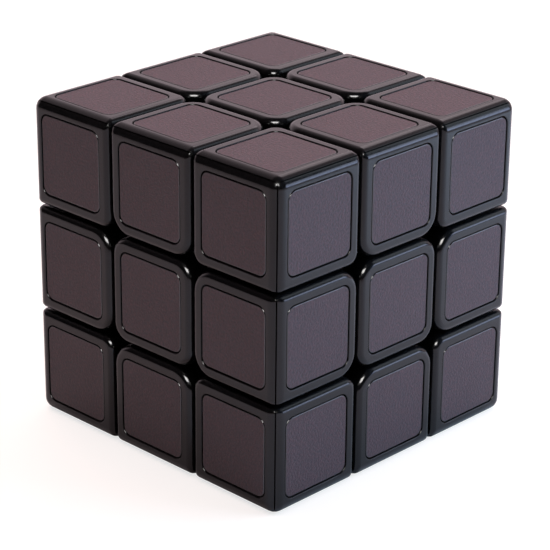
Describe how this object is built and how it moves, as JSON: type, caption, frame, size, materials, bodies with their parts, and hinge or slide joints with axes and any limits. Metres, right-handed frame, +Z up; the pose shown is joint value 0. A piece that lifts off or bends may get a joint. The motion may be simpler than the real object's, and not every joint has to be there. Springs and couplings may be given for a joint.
{
  "type": "twisty puzzle cube",
  "caption": "Black plastic puzzle cube of small cubes in three layers each way, with inset square tiles; each face turns about a sprung central core.",
  "frame": {"origin": "centre of the cube, which is also the middle of the core and the point that all turning axes pass through", "axes": "+Z up through the top face (U), +X through the right-hand visible face (R), -Y through the left-hand visible face (F)"},
  "size_m": [0.057, 0.057, 0.057],
  "materials": {
    "frame_plastic": "gloss black moulded plastic",
    "tile": "satin dark plum, finely mottled",
    "inner_plastic": "moulded black plastic",
    "core_plastic": "moulded natural nylon",
    "steel": "bright zinc plated"
  },
  "bodies": {
    "core": {"core": "core_plastic", "screw_U": "steel", "spring_U": "steel", "washer_U": "steel", "screw_D": "steel", "spring_D": "steel", "washer_D": "steel", "screw_R": "steel", "spring_R": "steel", "washer_R": "steel", "screw_L": "steel", "spring_L": "steel", "washer_L": "steel", "screw_F": "steel", "spring_F": "steel", "washer_F": "steel", "screw_B": "steel", "spring_B": "steel", "washer_B": "steel"},
    "centre_U": {"centre_base_U": "inner_plastic", "centre_cap_U": "frame_plastic", "centre_tile_U": "tile"},
    "centre_D": {"centre_base_D": "inner_plastic", "centre_cap_D": "frame_plastic", "centre_tile_D": "tile"},
    "centre_R": {"centre_base_R": "inner_plastic", "centre_cap_R": "frame_plastic", "centre_tile_R": "tile"},
    "centre_L": {"centre_base_L": "inner_plastic", "centre_cap_L": "frame_plastic", "centre_tile_L": "tile"},
    "centre_F": {"centre_base_F": "inner_plastic", "centre_cap_F": "frame_plastic", "centre_tile_F": "tile"},
    "centre_B": {"centre_base_B": "inner_plastic", "centre_cap_B": "frame_plastic", "centre_tile_B": "tile"},
    "edge_UF": {"edge_UF": "frame_plastic"},
    "edge_UB": {"edge_UB": "frame_plastic"},
    "edge_DF": {"edge_DF": "frame_plastic"},
    "edge_DB": {"edge_DB": "frame_plastic"},
    "edge_UR": {"edge_UR": "frame_plastic"},
    "edge_UL": {"edge_UL": "frame_plastic"},
    "edge_DR": {"edge_DR": "frame_plastic"},
    "edge_DL": {"edge_DL": "frame_plastic"},
    "edge_FR": {"edge_FR": "frame_plastic"},
    "edge_FL": {"edge_FL": "frame_plastic"},
    "edge_BR": {"edge_BR": "frame_plastic"},
    "edge_BL": {"edge_BL": "frame_plastic"},
    "corner_UFR": {"corner_UFR": "frame_plastic"},
    "corner_UFL": {"corner_UFL": "frame_plastic"},
    "corner_UBR": {"corner_UBR": "frame_plastic"},
    "corner_UBL": {"corner_UBL": "frame_plastic"},
    "corner_DFR": {"corner_DFR": "frame_plastic"},
    "corner_DFL": {"corner_DFL": "frame_plastic"},
    "corner_DBR": {"corner_DBR": "frame_plastic"},
    "corner_DBL": {"corner_DBL": "frame_plastic"}
  },
  "joints": [
    {"name": "turn_U", "type": "hinge", "parent": "core", "child": "centre_U", "pos_m": [0, 0, 0], "axis": [0, 0, 1], "continuous": true},
    {"name": "turn_D", "type": "hinge", "parent": "core", "child": "centre_D", "pos_m": [0, 0, 0], "axis": [0, 0, 1], "continuous": true},
    {"name": "turn_R", "type": "hinge", "parent": "core", "child": "centre_R", "pos_m": [0, 0, 0], "axis": [1, 0, 0], "continuous": true},
    {"name": "turn_L", "type": "hinge", "parent": "core", "child": "centre_L", "pos_m": [0, 0, 0], "axis": [1, 0, 0], "continuous": true},
    {"name": "turn_F", "type": "hinge", "parent": "core", "child": "centre_F", "pos_m": [0, 0, 0], "axis": [0, 1, 0], "continuous": true},
    {"name": "turn_B", "type": "hinge", "parent": "core", "child": "centre_B", "pos_m": [0, 0, 0], "axis": [0, 1, 0], "continuous": true},
    {"name": "turn_F_edge_UF", "type": "hinge", "parent": "centre_U", "child": "edge_UF", "pos_m": [0, 0, 0], "axis": [0, 1, 0], "continuous": true},
    {"name": "turn_B_edge_UB", "type": "hinge", "parent": "centre_U", "child": "edge_UB", "pos_m": [0, 0, 0], "axis": [0, 1, 0], "continuous": true},
    {"name": "turn_F_edge_DF", "type": "hinge", "parent": "centre_D", "child": "edge_DF", "pos_m": [0, 0, 0], "axis": [0, 1, 0], "continuous": true},
    {"name": "turn_B_edge_DB", "type": "hinge", "parent": "centre_D", "child": "edge_DB", "pos_m": [0, 0, 0], "axis": [0, 1, 0], "continuous": true},
    {"name": "turn_U_edge_UR", "type": "hinge", "parent": "centre_R", "child": "edge_UR", "pos_m": [0, 0, 0], "axis": [0, 0, 1], "continuous": true},
    {"name": "turn_U_edge_UL", "type": "hinge", "parent": "centre_L", "child": "edge_UL", "pos_m": [0, 0, 0], "axis": [0, 0, 1], "continuous": true},
    {"name": "turn_D_edge_DR", "type": "hinge", "parent": "centre_R", "child": "edge_DR", "pos_m": [0, 0, 0], "axis": [0, 0, 1], "continuous": true},
    {"name": "turn_D_edge_DL", "type": "hinge", "parent": "centre_L", "child": "edge_DL", "pos_m": [0, 0, 0], "axis": [0, 0, 1], "continuous": true},
    {"name": "turn_R_edge_FR", "type": "hinge", "parent": "centre_F", "child": "edge_FR", "pos_m": [0, 0, 0], "axis": [1, 0, 0], "continuous": true},
    {"name": "turn_L_edge_FL", "type": "hinge", "parent": "centre_F", "child": "edge_FL", "pos_m": [0, 0, 0], "axis": [1, 0, 0], "continuous": true},
    {"name": "turn_R_edge_BR", "type": "hinge", "parent": "centre_B", "child": "edge_BR", "pos_m": [0, 0, 0], "axis": [1, 0, 0], "continuous": true},
    {"name": "turn_L_edge_BL", "type": "hinge", "parent": "centre_B", "child": "edge_BL", "pos_m": [0, 0, 0], "axis": [1, 0, 0], "continuous": true},
    {"name": "turn_R_corner_UFR", "type": "hinge", "parent": "edge_UF", "child": "corner_UFR", "pos_m": [0, 0, 0], "axis": [1, 0, 0], "continuous": true},
    {"name": "turn_L_corner_UFL", "type": "hinge", "parent": "edge_UF", "child": "corner_UFL", "pos_m": [0, 0, 0], "axis": [1, 0, 0], "continuous": true},
    {"name": "turn_R_corner_UBR", "type": "hinge", "parent": "edge_UB", "child": "corner_UBR", "pos_m": [0, 0, 0], "axis": [1, 0, 0], "continuous": true},
    {"name": "turn_L_corner_UBL", "type": "hinge", "parent": "edge_UB", "child": "corner_UBL", "pos_m": [0, 0, 0], "axis": [1, 0, 0], "continuous": true},
    {"name": "turn_R_corner_DFR", "type": "hinge", "parent": "edge_DF", "child": "corner_DFR", "pos_m": [0, 0, 0], "axis": [1, 0, 0], "continuous": true},
    {"name": "turn_L_corner_DFL", "type": "hinge", "parent": "edge_DF", "child": "corner_DFL", "pos_m": [0, 0, 0], "axis": [1, 0, 0], "continuous": true},
    {"name": "turn_R_corner_DBR", "type": "hinge", "parent": "edge_DB", "child": "corner_DBR", "pos_m": [0, 0, 0], "axis": [1, 0, 0], "continuous": true},
    {"name": "turn_L_corner_DBL", "type": "hinge", "parent": "edge_DB", "child": "corner_DBL", "pos_m": [0, 0, 0], "axis": [1, 0, 0], "continuous": true}
  ],
  "couplings": [
    {"joint": "turn_F_edge_UF", "follows": "turn_F", "ratio": 1},
    {"joint": "turn_B_edge_UB", "follows": "turn_B", "ratio": 1},
    {"joint": "turn_F_edge_DF", "follows": "turn_F", "ratio": 1},
    {"joint": "turn_B_edge_DB", "follows": "turn_B", "ratio": 1},
    {"joint": "turn_U_edge_UR", "follows": "turn_U", "ratio": 1},
    {"joint": "turn_U_edge_UL", "follows": "turn_U", "ratio": 1},
    {"joint": "turn_D_edge_DR", "follows": "turn_D", "ratio": 1},
    {"joint": "turn_D_edge_DL", "follows": "turn_D", "ratio": 1},
    {"joint": "turn_R_edge_FR", "follows": "turn_R", "ratio": 1},
    {"joint": "turn_L_edge_FL", "follows": "turn_L", "ratio": 1},
    {"joint": "turn_R_edge_BR", "follows": "turn_R", "ratio": 1},
    {"joint": "turn_L_edge_BL", "follows": "turn_L", "ratio": 1},
    {"joint": "turn_R_corner_UFR", "follows": "turn_R", "ratio": 1},
    {"joint": "turn_L_corner_UFL", "follows": "turn_L", "ratio": 1},
    {"joint": "turn_R_corner_UBR", "follows": "turn_R", "ratio": 1},
    {"joint": "turn_L_corner_UBL", "follows": "turn_L", "ratio": 1},
    {"joint": "turn_R_corner_DFR", "follows": "turn_R", "ratio": 1},
    {"joint": "turn_L_corner_DFL", "follows": "turn_L", "ratio": 1},
    {"joint": "turn_R_corner_DBR", "follows": "turn_R", "ratio": 1},
    {"joint": "turn_L_corner_DBL", "follows": "turn_L", "ratio": 1}
  ]
}
